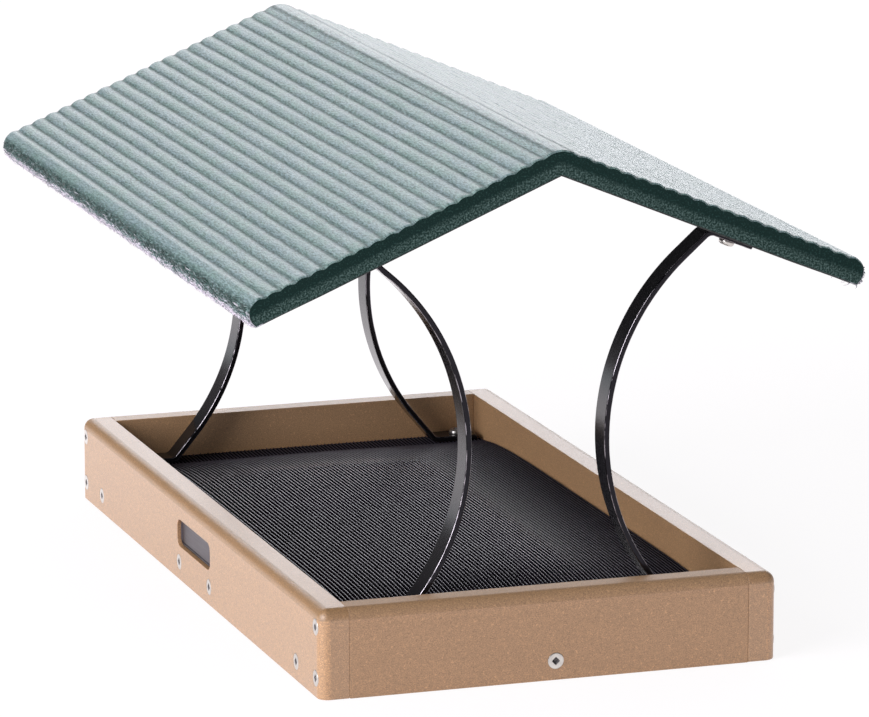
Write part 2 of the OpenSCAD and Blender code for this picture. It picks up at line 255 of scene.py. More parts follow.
class Value:
    """A number, colour or direction that a material works out at each point. Sums, differences
    and products of values become Math nodes."""

    def __init__(self, socket):
        self.socket = socket
        self.tree = socket.id_data

    def math(self, operation, other=0.0, clamp=False):
        """One step of arithmetic with another value or a plain number."""
        return output(self.tree, "Math", 0, {0: self, 1: other}, operation=operation,
                      use_clamp=clamp)

    def __add__(self, other):
        return self.math("ADD", other)

    def __sub__(self, other):
        return self.math("SUBTRACT", other)

    def __mul__(self, other):
        return self.math("MULTIPLY", other)

    def __abs__(self):
        return self.math("ABSOLUTE")

    def rest(self):
        """What the value lacks to 1."""
        return output(self.tree, "Math", 0, {0: 1.0, 1: self}, operation="SUBTRACT")

    def climb(self, low, high):
        """0 up to low, 1 from high on, and a straight climb between them, of either sense."""
        return (self - low).math("MULTIPLY", 1 / (high - low), clamp=True)

    def ramp(self, *stops):
        """A blend of colours or greys along the value. stops are pairs of place and colour."""
        made = node(self.tree, "ValToRGB", {"Fac": self})
        band = made.color_ramp
        while len(band.elements) < len(stops):
            band.elements.new(0.5)
        for element, (place, color) in zip(band.elements, stops):
            element.position = place
            element.color = color if isinstance(color, tuple) else (color, color, color, 1)
        return Value(made.outputs["Color"])


def feed(socket, value):
    """Gives a socket a plain value, or the value of another node."""
    if isinstance(value, Value):
        value.tree.links.new(value.socket, socket)
    else:
        socket.default_value = value


def node(tree, kind, inputs=None, **settings):
    """One shader node with its settings and inputs."""
    made = tree.nodes.new("ShaderNode" + kind)
    for key, value in settings.items():
        setattr(made, key, value)
    for key, value in (inputs or {}).items():
        feed(made.inputs[key], value)
    return made


def output(tree, kind, key, inputs=None, **settings):
    """One output of a new shader node, by its name or number."""
    return Value(node(tree, kind, inputs, **settings).outputs[key])


def split(vector):
    """A direction's or place's parts along X, Y and Z."""
    return [Value(part) for part in node(vector.tree, "SeparateXYZ", {"Vector": vector}).outputs]


def mix(share, a, b, blend="MIX"):
    """Two colours mixed by a share from 0 to 1. At least one of the three is a Value."""
    tree = next(value.tree for value in (share, a, b) if isinstance(value, Value))
    return output(tree, "Mix", 2, {0: share, 6: a, 7: b}, data_type="RGBA", blend_type=blend)


def tinted(share, tone, tint):
    """A colour multiplied by a tint, by a share from 0 to 1."""
    return mix(share, tone, mix(1.0, tone, (*tint, 1), "MULTIPLY"))


def linear(color):
    """A colour as shaders take it, from the shares from 0 to 1 that a picture shows."""
    share = np.asarray(color, float)
    low = share / 12.92
    high = ((share + 0.055) / 1.055) ** 2.4
    return (*np.where(share <= 0.04045, low, high).tolist(), 1.0)


def shares(*color):
    """A picture's 0 to 255 values as shares from 0 to 1."""
    return tuple(c / 255 for c in color)


def rgb(*color):
    """A shader's colour from a picture's 0 to 255 values."""
    return linear(shares(*color))


def shade(color, factor):
    """A shader's colour made darker or lighter."""
    return tuple(min(1, c * factor) for c in color[:3]) + (1,)


class Finish:
    """A new material: its shader, and the patterns that its nodes make on a piece."""

    def __init__(self, name, metallic=0.0, specular=0.5, gloss_tint=(1, 1, 1)):
        self.material = bpy.data.materials.new(name)
        self.material.use_nodes = True
        self.tree = self.material.node_tree
        self.shader = next(n for n in self.tree.nodes if n.type == "BSDF_PRINCIPLED")
        self.shader.inputs["Metallic"].default_value = metallic
        self.shader.inputs["Specular IOR Level"].default_value = specular
        self.shader.inputs["Specular Tint"].default_value = (*gloss_tint, 1)

    def at(self, scale=(1, 1, 1), turn=(0, 0, 0), place=None):
        """Places on the piece, or others that are given, turned and stretched."""
        place = place or output(self.tree, "TexCoord", "Object")
        return output(self.tree, "Mapping", "Vector",
                      {"Vector": place, "Scale": scale, "Rotation": turn})

    def noise(self, scale, detail=2.0, roughness=0.5, distortion=0.0, at=None):
        """Cloudy noise from 0 to 1, scale in clouds per metre."""
        return output(self.tree, "TexNoise", "Fac",
                      {"Vector": at or self.at(), "Scale": scale, "Detail": detail,
                       "Roughness": roughness, "Distortion": distortion})

    def carried(self, name):
        """Numbers that the piece's points carry."""
        return output(self.tree, "Attribute", "Fac", attribute_name=name)

    def done(self, tone, rough, height, strength, distance):
        """Connects the colour, the roughness, and a relief that is distance in metres high."""
        relief = output(self.tree, "Bump", "Normal",
                        {"Height": height, "Strength": strength, "Distance": distance})
        for key, value in (("Base Color", tone), ("Roughness", rough), ("Normal", relief)):
            feed(self.shader.inputs[key], value)
        return self.material


def lumber_material(name, color, along, dull):
    """Plastic lumber: a fine grain of lighter and darker specks, with faint streaks along the
    board, painted shade on the routed upper edge and a painted highlight on the tray's standing
    corners. along is the board's direction, 0 for X and 1 for Y, and dull its least roughness."""
    coat = Finish(name, specular=1.0)
    base = linear(color)
    stretch = [380.0, 380.0, 380.0]
    stretch[along] = 22.0
    combed = coat.at((0.8, 0.8, 1.1))
    grain = coat.noise(1900.0, 3.0, 0.7, at=combed)
    mottle = coat.noise(600.0, 3.0, 0.6, at=combed)
    fleck = coat.noise(800.0, 1.0, at=coat.at(turn=(0.3, 0.7, 0.2)))
    streak = coat.noise(1.0, 3.0, 0.6, at=coat.at(stretch))
    tone = mix(grain.ramp((0.34, 0.0), (0.66, 1.0)), shade(base, 0.58), shade(base, 1.42))
    for share, factor in ((mottle.ramp((0.36, 0.24), (0.60, 0.0)), 0.70),
                          (streak.ramp((0.35, 0.14), (0.65, 0.0)), 0.70),
                          (fleck.ramp((0.66, 0.0), (0.73, 0.45)), 1.8),
                          (fleck.ramp((0.26, 0.45), (0.32, 0.0)), 0.42)):
        tone = mix(share, tone, shade(base, factor))
    # the routed upper edge gets painted shade and is duller, and the standing corners get a
    # painted highlight
    x, y, z = split(coat.at())
    beside, beyond = (abs(value).climb(limit * MM, (limit + 0.2) * MM)
                      for value, limit in ((x, TRAY_W / 2 - EDGE_R), (y, TRAY_L / 2 - EDGE_R)))
    upper = z.climb((TRAY_H - EDGE_R - 0.1) * MM, (TRAY_H - EDGE_R + 0.2) * MM)
    routed = upper * beside.math("MAXIMUM", beyond)
    corner = beside * beyond * upper.rest()
    # painted shade on the routed upper edge
    tone = tinted(routed, tone, (0.84, 0.83, 0.77))
    # painted highlight on the standing corners
    tone = tinted(corner, tone, (1.16, 1.13, 1.08))
    rough = grain.ramp((0.2, dull), (0.8, dull + 0.12)) + routed * 0.05
    return coat.done(tone, rough, grain * 0.6 + mottle * 0.6, 0.5, 0.0002)


def roof_top_material(settings):
    """The roof's faces: dark green plastic whose skin is combed into short slanting strokes.
    Strokes are noise stretched along slanting lines of the unrolled roof, and they lift the
    surface and frost its colour; the pale frost is partly the skin's own streaks and partly
    painted sheen. Valleys between ribs, found from the distance down the slope, get painted
    shade and are duller, with a ragged edge. The ridge and the noses have dark streaks along
    them, a nose is torn pale below, and the underside gets painted shade."""
    coat = Finish("green_lumber_top", specular=0.7, gloss_tint=(0.93, 1.0, 1.0))
    unrolled = output(coat.tree, "UVMap", "UV", uv_map="unrolled")

    def combed(turn, across, along, detail, distortion):
        where = coat.at((across, along, 1.0), (0, 0, turn), unrolled)
        return coat.noise(1.0, detail, 0.62, distortion, where)

    strokes = combed(settings.stroke_turn, 1500.0, 330.0, 3.0, 0.4)
    crossing = combed(settings.stroke_turn + math.radians(24), 1100.0, 260.0, 2.0, 0.3)
    patches = combed(0.0, 110.0, 32.0, 3.0, 0.5)
    ragged = combed(0.0, 900.0, 260.0, 3.0, 0.6)
    frost = strokes * 0.6 + crossing * 0.4
    down = abs(split(unrolled)[0])
    phase = (down - FIRST_VALLEY * MM) * (1 / (RIB_PITCH * MM))
    from_valley = phase.math("PINGPONG", 0.5) + (ragged - 0.5) * 0.5
    is_ribbed = phase.math("LESS_THAN", ROOF_RIBS + 0.3)
    # painted shade in the valleys between ribs
    valley = from_valley.ramp((0.0, 1.0), (0.20, 0.0)) * is_ribbed
    ridge = (down.climb(11 * MM, 3 * MM)
             * combed(0.0, 1300.0, 130.0, 3.0, 0.8).ramp((0.50, 0.0), (0.62, 0.7)))
    past_ribs = (down - LAST_VALLEY * MM) * (0.5 / (NOSE_R * MM))
    nose = past_ribs.ramp((0.44, 0.0), (0.60, 1.0))
    streak = ragged.ramp((0.38, 0.0), (0.58, 1.0))
    outer = abs(split(coat.at())[0]).math("GREATER_THAN", 148.5 * MM)
    over = coat.carried("over_underside")
    torn = outer * ((over + ragged * 9.0) * 0.05).ramp((0.50, 1.0), (0.68, 0.0))
    # the underside and its edge get painted shade, nearly black
    under = (over * 0.05).ramp((0.04, 1.0), (0.07, 0.0)) * outer.rest()
    # the pale frost is partly the skin's own streaks and partly painted sheen
    share = mix(nose, frost.ramp((0.40, 0.08), (0.58, 0.68)),
                frost.ramp((0.48, 0.0), (0.62, 0.55)))
    pale = mix(patches.ramp((0.42, 0.0), (0.58, 1.0)), rgb(155, 182, 178), rgb(161, 182, 188))
    tone = mix(share, linear(settings.color), pale)
    for share, color in ((valley * 0.42, (12, 34, 31)), (ridge, (40, 62, 62)),
                         (nose * streak * 0.8, (8, 28, 27)),
                         (torn * (streak * -0.4 + 0.9), (186, 184, 194)),
                         (under, (25, 26, 24))):
        tone = mix(share, tone, rgb(*color))
    rough = frost.ramp((0.38, 0.28), (0.62, 0.48)) + valley * 0.22
    rough = rough.math("ADD", nose.math("MAXIMUM", under) * 0.36, clamp=True)
    height = frost + coat.noise(2600.0, 2.0, 0.6) * 0.35 + ragged * 0.6
    return coat.done(tone, rough, height, settings.stroke_strength, 0.0004)


def roof_end_material(settings):
    """The sawn ends of the roof: near-black green, speckled, paler in a band along the underside
    whose height is read from the distance to the underside, with painted shade along the bottom
    edge."""
    coat = Finish("green_lumber_end", specular=0.12)
    over = coat.carried("over_underside")
    edge = over + coat.noise(350.0, 3.0, 0.6) * 2.4
    speck = coat.noise(1100.0, 2.0, 0.6)
    upper = mix(speck.ramp((0.54, 0.0), (0.72, 0.7)), linear(settings.end_color),
                rgb(48, 80, 76))
    lower = mix(speck.ramp((0.44, 0.0), (0.68, 0.85)), rgb(24, 46, 42), rgb(92, 116, 112))
    # painted shade along the bottom edge
    lower = mix(over.ramp((0.25, 0.9), (0.95, 0.0)), lower, rgb(26, 22, 20))
    tone = mix((edge * 0.05).ramp((0.30, 0.0), (0.42, 1.0)), lower, upper)
    return coat.done(tone, 0.62, speck, 0.5, 0.0004)


def fibre_material():
    """Torn plastic fibres: each has its own shade, from the roof's teal to the whitish lilac of
    plastic that was stretched until it broke."""
    coat = Finish("torn_fibres", specular=0.4)
    tone = coat.carried("shade").ramp((0.0, rgb(26, 56, 52)), (0.45, rgb(96, 124, 122)),
                                      (1.0, rgb(222, 214, 226)))
    return coat.done(tone, 0.55, coat.noise(3000.0), 0.3, 0.0001)


def coated_material(name, color, roughness, grain, specular=0.5, dusty=False):
    """Powder coat: a satin black with the fine orange-peel grain of the coating. Dusty coat is
    dull along the tray's right and rear walls."""
    coat = Finish(name, specular=specular, gloss_tint=(0.88, 0.84, 1.0))
    base = linear(color)
    peel = coat.noise(grain)
    tone = mix(coat.noise(90.0).ramp((0.35, 0.0), (0.65, 0.3)), base, shade(base, 1.5))
    rough = peel.ramp((0.3, roughness - 0.05), (0.7, roughness + 0.06))
    if dusty:
        x, y, _ = split(coat.at())
        right = x.climb((INNER_W / 2 - 62) * MM, (INNER_W / 2 - 15) * MM)
        rear = y.climb((INNER_L / 2 - 90) * MM, (INNER_L / 2 - 28) * MM)
        rough = rough + right.math("MAXIMUM", rear) * 0.45
    return coat.done(tone, rough, peel, 0.25, 0.0001)


def edge_highlight_material(settings):
    """A painted highlight along the middle of the bars' rounded edges: patchy bright metal on the
    black coat.
    """
    coat = Finish("black_bar_edge", metallic=1.0)
    # noise breaks the painted highlight into patches
    worn = coat.noise(120.0, 3.0, 0.6)
    tone = mix(worn.ramp((0.40, 0.0), (0.55, 1.0)), linear(settings.color), rgb(158, 152, 158))
    return coat.done(tone, 0.24, worn, 0.2, 0.0001)


def recess_shade_material():
    """The inside of a drive recess: grey metal, dull, with painted shade."""
    coat = Finish("screw_recess", metallic=0.6)
    grain = coat.noise(1800.0, 2.0, 0.6)
    return coat.done(mix(grain, rgb(60, 58, 60), rgb(140, 136, 136)), 0.6, grain, 0.3, 0.0001)


def zinc_material(settings):
    """Bright zinc plating with a slight brushed grain and darker spots."""
    coat = Finish("zinc_screw", metallic=1.0)
    grain = coat.noise(2400.0, 2.0, 0.6)
    tone = mix(coat.noise(500.0).ramp((0.35, 0.0), (0.7, 0.5)), linear(settings.zinc),
               rgb(170, 166, 164))
    return coat.done(tone, grain.ramp((0.3, 0.28), (0.7, 0.42)), grain, 0.2, 0.00008)


def plate_material(settings):
    """Brushed grey metal: noise stretched along the plate lifts it into fine lines."""
    coat = Finish("plate_metal", metallic=1.0)
    brushed = coat.noise(1.0, 3.0, 0.6, at=coat.at((900.0, 45.0, 2600.0)))
    tone = mix(brushed.ramp((0.3, 0.0), (0.7, 0.6)), linear(settings.plate), rgb(112, 105, 113))
    tone = mix(coat.noise(160.0).ramp((0.4, 0.0), (0.7, 0.4)), tone, rgb(72, 67, 71))
    return coat.done(tone, brushed.ramp((0.3, 0.32), (0.7, 0.5)), brushed, 0.3, 0.00006)


# Sizes and colours that a user would change


class FeederBoards(bpy.types.PropertyGroup):
    """The tray's boards and ledge strips."""
    color: FloatVectorProperty(name="Lumber colour", description="Colour of the boards",
                               default=shares(168, 131, 95), min=0, max=1,
                               subtype="COLOR_GAMMA")
    bevel: FloatProperty(name="Edge wear", description="Width of the rounding of the sharp edges",
                         default=0.35 * MM, min=0.05 * MM, max=1.0 * MM, unit="LENGTH")


class FeederScreen(bpy.types.PropertyGroup):
    """The woven wire screen."""
    mesh_pitch: FloatProperty(name="Mesh pitch", description="Distance between two long wires",
                              default=2.1 * MM, min=1.5 * MM, max=6 * MM, unit="LENGTH")
    cross_pitch: FloatProperty(name="Cross pitch", description="Distance between two cross wires",
                               default=1.26 * MM, min=1 * MM, max=6 * MM, unit="LENGTH")
    wire_d: FloatProperty(name="Wire diameter", description="Thickness of one coated wire",
                          default=0.6 * MM, min=0.2 * MM, max=0.6 * MM, unit="LENGTH")
    color: FloatVectorProperty(name="Wire colour", description="Colour of the wires",
                               default=shares(27, 22, 31), min=0, max=1, subtype="COLOR_GAMMA")


class FeederStruts(bpy.types.PropertyGroup):
    """The bowed flat bars."""
    edge: FloatProperty(name="Bar edge radius", description="Rounding of the bars' long edges",
                        default=0.6 * MM, min=0.1 * MM, max=1.2 * MM, unit="LENGTH")
    color: FloatVectorProperty(name="Coat colour", description="Colour of the bars",
                               default=shares(14, 13, 15), min=0, max=1, subtype="COLOR_GAMMA")


class FeederRoof(bpy.types.PropertyGroup):
    """The ribbed roof and its torn fibres."""
    color: FloatVectorProperty(name="Roof colour", description="Colour of the faces",
                               default=shares(24, 66, 60), min=0, max=1, subtype="COLOR_GAMMA")
    end_color: FloatVectorProperty(name="End colour", description="Colour of the sawn ends",
                                   default=shares(13, 38, 35), min=0, max=1,
                                   subtype="COLOR_GAMMA")
    stroke_turn: FloatProperty(name="Stroke turn", description="Slant of the combed strokes",
                               default=math.radians(35), min=0, max=math.pi / 2,
                               subtype="ANGLE")
    stroke_strength: FloatProperty(name="Stroke depth", description="Strength of the strokes",
                                   default=1.0, min=0, max=2)
    fibres: IntProperty(name="Fibres", description="Torn fibres along each eave",
                        default=3600, min=0, max=9000)


class FeederMetal(bpy.types.PropertyGroup):
    """The screws and the plate."""
    zinc: FloatVectorProperty(name="Zinc colour", description="Colour of the screws",
                              default=shares(200, 196, 191), min=0, max=1,
                              subtype="COLOR_GAMMA")
    plate: FloatVectorProperty(name="Plate colour", description="Colour of the plate",
                               default=shares(62, 58, 64), min=0, max=1, subtype="COLOR_GAMMA")


class FeederStage(bpy.types.PropertyGroup):
    """The floor, lights and camera."""
    room_glow: FloatProperty(name="Room light", description="Brightness of the even light",
                             default=0.53, min=0, max=3)
    backdrop_glow: FloatProperty(name="Backdrop", description="Brightness of the backdrop behind",
                                 default=1.0, min=0, max=3)
    back_glow: FloatProperty(name="Back light", description="Brightness of the lamp behind",
                             default=3.5, min=0, max=20)
    left_glow: FloatProperty(name="Left light", description="Brightness of the lamp at the left",
                             default=7.2, min=0, max=20)


GROUPS = {"feeder_boards": FeederBoards, "feeder_screen": FeederScreen,
          "feeder_struts": FeederStruts, "feeder_roof": FeederRoof,
          "feeder_metal": FeederMetal, "feeder_stage": FeederStage}


# Boards


def board_copy(node_name, piece_name, material, bevel):
    """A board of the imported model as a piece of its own: its loose triangles are merged, flat
    areas become whole faces, and sharp edges get a narrow rounding, except round the screw holes.
    The rounding is bevel wide, and twice as wide along the bottom."""
    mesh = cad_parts[node_name].data.copy()
    mesh.name = piece_name
    mesh.materials.clear()
    mesh.materials.append(material)
    work = bmesh.new()
    work.from_mesh(mesh)
    bmesh.ops.remove_doubles(work, verts=work.verts, dist=1e-6)
    bmesh.ops.dissolve_limit(work, angle_limit=LEVEL_ANGLE, verts=work.verts, edges=work.edges,
                             delimit=set())
    layer = work.edges.layers.float.new("bevel_weight_edge")
    for edge in work.edges:
        sharp = len(edge.link_faces) == 2 and edge.calc_face_angle() > SHARP_ANGLE
        middle = (edge.verts[0].co + edge.verts[1].co) / 2
        in_hole = edge.calc_length() < HOLE_EDGE * MM and is_near_screw(middle)
        worn = sharp and not in_hole
        edge[layer] = (1.0 if middle.z < BOTTOM_Z * MM else 0.5) if worn else 0.0
        edge.smooth = worn or not sharp
    for face in work.faces:
        face.smooth = True
    work.to_mesh(mesh)
    work.free()
    piece = bpy.data.objects.new(piece_name, mesh)
    rounding = piece.modifiers.new("edge_wear", "BEVEL")
    rounding.limit_method = "WEIGHT"
    rounding.width = 2 * bevel
    rounding.segments = 3
    rounding.use_clamp_overlap = False
    shading = piece.modifiers.new("level_faces", "WEIGHTED_NORMAL")
    shading.keep_sharp = True
    return settle(piece, [node_name])


def is_near_screw(place):
    """Whether a point lies in the countersink of one of the screws, seen from the board's face."""
    x, y, z = (c / MM for c in place)
    screws = [(y, at, LOW_SCREW_Z) for at in ROW_YS] + [(x, END_SCREW_X, LOW_SCREW_Z)]
    screws += [(y, at, height) for at in (-CORNER_Y, CORNER_Y)
               for height in (LOW_SCREW_Z, HIGH_SCREW_Z)]
    return any(math.hypot(along - at, z - height) < SINK_REACH for along, at, height in screws)


class FEEDER_OT_boards(bpy.types.Operator):
    """Dress the four boards and the ledge strips in grained lumber"""
    bl_idname = "feeder.boards"
    bl_label = "Boards and ledges"

    def execute(self, context):
        settings = context.scene.feeder_boards
        side = lumber_material("tan_lumber_side", settings.color, 1, 0.32)
        front = lumber_material("tan_lumber_front", settings.color, 0, 0.52)
        rear = lumber_material("tan_lumber_rear", settings.color, 0, 0.38)
        for which, kind, material in (("left", "side", side), ("right", "side", side),
                                      ("front", "end", front), ("rear", "end", rear)):
            board_copy(f"{which}_{kind}_board", which + "_board", material, settings.bevel)
            assign(which + "_ledge_strip", material)
        return {"FINISHED"}


def assign(node_name, material):
    """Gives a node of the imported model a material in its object's slots."""
    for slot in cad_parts[node_name].material_slots:
        slot.link = "OBJECT"
        slot.material = material


# Screen


def screen_height(x, y):
    """Height of the screen's underside. It is flat over the bars' feet, and between them it bows
    up: a sixth-power bulge along the tray times a parabola across it."""
    bulge = np.where(np.abs(y) < BOW_HALF, 1 - (np.abs(y) / BOW_HALF) ** 6, 0)
    return LEDGE_H + bulge * (SIDE_BOW + CROWN * (1 - (2 * x / SCREEN_W) ** 2))


def wire_lines(start, stop, count, reach, steps, along_y, lift, wide, high):
    """count parallel wires as closed tubes, each a rhombus carried through steps points between
    reach on both sides of the middle. lift is the height of their middles over the cloth's
    middle, as a table of wires and points, wide and high are half the wire's width and height,
    and all of it follows the screen's bow."""
    across, along = np.meshgrid(np.linspace(start, stop, count),
                                np.linspace(-reach, reach, steps), indexing="ij")
    where_x, where_y = (across, along) if along_y else (along, across)
    middle = screen_height(where_x, where_y) + SCREEN_T / 2 + lift
    corner = np.arange(WIRE_SIDES) * 2 * np.pi / WIRE_SIDES
    side = across[..., None] + wide * np.cos(corner)
    up = middle[..., None] + high * np.sin(corner)
    run = np.broadcast_to(along[..., None], side.shape)
    points = np.stack([side, run, up] if along_y else [run, side, up], axis=-1).reshape(-1, 3)
    ring = np.arange(WIRE_SIDES)
    ends = [ring[::-1], ring + WIRE_SIDES * (steps - 1)]
    faces = np.concatenate([tube_quads(steps, WIRE_SIDES), ends])
    if along_y:
        faces = faces[:, ::-1]
    return points, repeated(faces, count, WIRE_SIDES * steps)


class FEEDER_OT_screen(bpy.types.Operator):
    """Weave the wire screen: each long wire goes over and under the cross wires in turn"""
    bl_idname = "feeder.screen"
    bl_label = "Wire screen"

    def execute(self, context):
        settings = context.scene.feeder_screen
        wire_r = settings.wire_d / MM / 2
        wide = WIRE_SPREAD * wire_r
        long_wires = round(SCREEN_W / (settings.mesh_pitch / MM)) + 1
        cross_wires = round(SCREEN_L / (settings.cross_pitch / MM)) + 1
        coat = coated_material("black_screen", settings.color, 0.23, 3000.0, 0.7, True)
        # the cross wires are a darker, duller copy of the coat: painted shade where the long wires
        # hide them
        under = coated_material("black_screen_shaded", shares(12, 11, 13), 0.8, 3000.0, 0.05)
        edge_x, edge_y = SCREEN_W / 2 - wide, SCREEN_L / 2 - wire_r
        step_x = 2 * edge_x / (long_wires - 1)
        half = long_wires // 2
        for name, first, count in (("left", 0, half), ("right", half, long_wires - half)):
            start = -edge_x + first * step_x
            turn = (first + np.arange(count))[:, None] + np.arange(cross_wires)[None]
            lift = SCREEN_T / 2 - wire_r - WEAVE_DIP * (turn % 2)
            points, faces = wire_lines(start, start + (count - 1) * step_x, count, edge_y,
                                       cross_wires, True, lift, wide, wire_r)
            new_piece("screen_wires_" + name, points, [faces], [coat], ["mesh_screen"])
        points, faces = wire_lines(-edge_y, edge_y, cross_wires, edge_x, CROSS_STEPS, False,
                                   wire_r - SCREEN_T / 2, wire_r, wire_r)
        new_piece("screen_cross_wires", points, [faces], [under], ["mesh_screen"])
        return {"FINISHED"}


# Struts


def strut_line():
    """The middle line of the right front bar, seen from the front, as points and headings. It runs
    from the foot's free end: a tab, a tight bend, a straight stretch, the wide bow, a straight
    stretch, a tight bend and the tab under the roof. The bow's radius follows from its depth
    over the chord between the two corners."""
    foot_z = LEDGE_H + SCREEN_T + BAR_T / 2
    foot_end = INNER_W / 2 - FOOT_GAP
    foot = np.array([foot_end - TAB_L, foot_z])
    top = np.array([TOP_REACH, RIDGE_H - TOP_REACH * math.tan(PITCH) - BAR_T / 2 / COS])
    half = np.linalg.norm(top - foot) / 2
    up = (top - foot) / 2 / half
    bow_r = round((half ** 2 + BOW ** 2 - END_RUN ** 2) / (2 * BOW), 2)
    centre = (foot + top) / 2 + (bow_r - BOW) * np.array([up[1], -up[0]])
    straight = math.sqrt(half ** 2 + (bow_r - BOW) ** 2 - bow_r ** 2)
    lean = math.atan2(straight, bow_r)

    def bearing(to):
        return math.atan2(to[1] - centre[1], to[0] - centre[0])

    foot_turn = (1.5 * math.pi - bearing(foot) + lean) % math.pi
    top_turn = (bearing(top) + lean - 0.5 * math.pi + PITCH) % math.pi
    bow_turn = math.pi + PITCH - foot_turn - top_turn
    foot_set = BEND_R * math.tan(foot_turn / 2)
    top_set = BEND_R * math.tan(top_turn / 2)
    # each stretch is a length or a radius, the angle that it turns by, and its steps
    stretches = [(TAB_L - foot_set, 0, 2), (BEND_R, foot_turn, 12),
                 (straight - foot_set, 0, 4), (bow_r, bow_turn, 60),
                 (straight - top_set, 0, 4), (BEND_R, top_turn, 14), (TAB_L - top_set, 0, 2)]
    place, heading = np.array([foot_end, foot_z]), math.pi
    points, headings = [place[None]], [np.array([heading])]
    for size, turn, steps in stretches:
        share = np.linspace(0, 1, steps + 1)[1:]
        angles = heading - turn * share
        ahead = np.array([math.cos(heading), math.sin(heading)])
        if turn:
            middle = place + size * np.array([ahead[1], -ahead[0]])
            stretch = middle + size * np.stack([-np.sin(angles), np.cos(angles)], axis=1)
        else:
            stretch = place + size * share[:, None] * ahead
        points.append(stretch)
        headings.append(angles)
        place, heading = stretch[-1], angles[-1]
    return np.concatenate(points), np.concatenate(headings)


def bar_section(edge):
    """The bar's section as a closed ring of (across, thick): a rectangle with round corners. A
    point on the flat beside each end of a round keeps the shading of the flat level."""
    rounds = corner_rounds(BAR_W / 2, BAR_T / 2, edge, ROUND_STEPS)
    quarter = np.arange(5) * np.pi / 2
    beside = edge / 2 * np.stack([-np.sin(quarter), np.cos(quarter)], axis=1)[:, None]
    return np.concatenate([rounds[:, :1] - beside[:4], rounds, rounds[:, -1:] + beside[1:]],
                          axis=1).reshape(-1, 2)


def bar_surface(edge):
    """The section carried along the bar's line, drawn in a little at both ends to round them."""
    line, heading = strut_line()
    ring = bar_section(edge)
    tangent = np.stack([np.cos(heading), np.sin(heading)], axis=1)
    turn = np.linspace(0, np.pi / 2, ROUND_STEPS)
    run = edge * (1 - np.cos(turn))[:, None]
    inset = edge * (1 - np.sin(turn))
    path = np.concatenate([line[0] + tangent[0] * run, line[1:-1],
                           line[-1] - tangent[-1] * run[::-1]])
    shrink = np.concatenate([inset, np.zeros(len(line) - 2), inset[::-1]])[:, None]
    heads = np.concatenate([np.full(ROUND_STEPS, heading[0]), heading[1:-1],
                            np.full(ROUND_STEPS, heading[-1])])
    normal = np.stack([-np.sin(heads), np.cos(heads)], axis=1)
    across = ring[:, 0] * (1 - shrink / (BAR_W / 2))
    thick = ring[:, 1] * (1 - shrink / (BAR_T / 2))
    side = path[:, None] + normal[:, None] * thick[..., None]
    points = np.stack([side[..., 0], across, side[..., 1]], axis=-1)
    rows, columns = points.shape[:2]
    count = rows * columns
    points = np.concatenate([points.reshape(-1, 3),
                             [[path[0, 0], 0, path[0, 1]], [path[-1, 0], 0, path[-1, 1]]]])
    caps = np.concatenate([fan(count, np.arange(columns)[::-1]),
                           fan(count + 1, np.arange(count - columns, count))])
    return points, tube_quads(rows, columns), caps


class FEEDER_OT_struts(bpy.types.Operator):
    """Bend the four bowed bars, with rounded long edges and ends"""
    bl_idname = "feeder.struts"
    bl_label = "Bars"

    def execute(self, context):
        settings = context.scene.feeder_struts
        coat = coated_material("black_bar", settings.color, 0.16, 1800.0, 0.2)
        edge_highlight = edge_highlight_material(settings)
        points, quads, caps = bar_surface(settings.edge / MM)
        # the middle of each round gets the painted highlight
        is_edge = np.arange(len(quads)) % (ROUND_STEPS + 2) == ROUND_STEPS // 2
        is_edge = np.append(is_edge, np.zeros(len(caps), bool))
        for end, y in (("front", -STRUT_Y), ("rear", STRUT_Y)):
            for side, sign in (("left", -1), ("right", 1)):
                name = end + "_" + side
                new_piece(name + "_bar", points * (sign, 1, 1) + (0, y, 0),
                          [quads[:, ::sign], caps[:, ::sign]], [coat, edge_highlight],
                          [name + "_strut"], which=is_edge)
        return {"FINISHED"}


# Roof


def on_slope(down, along, out, side=1):
    """Places or directions on a slope, counted from the underside of the ridge: down the slope,
    along the ridge and out of the slope. side is 1 for the right slope and -1 for the left."""
    return np.stack([side * (down * COS + out * SIN), along, out * COS - down * SIN], axis=-1)


def slope_top(s):
    """Height of a slope's upper side over its underside, at a distance s down the slope: ribs
    that are parabolas, and level before the first valley and beyond the last one."""
    share = ((s - FIRST_VALLEY) / RIB_PITCH) % 1.0 - 0.5
    inside = (s > FIRST_VALLEY) & (s < LAST_VALLEY)
    return ROOF_T + np.where(inside, RIB_H * (1 - (2 * share) ** 2), 0)


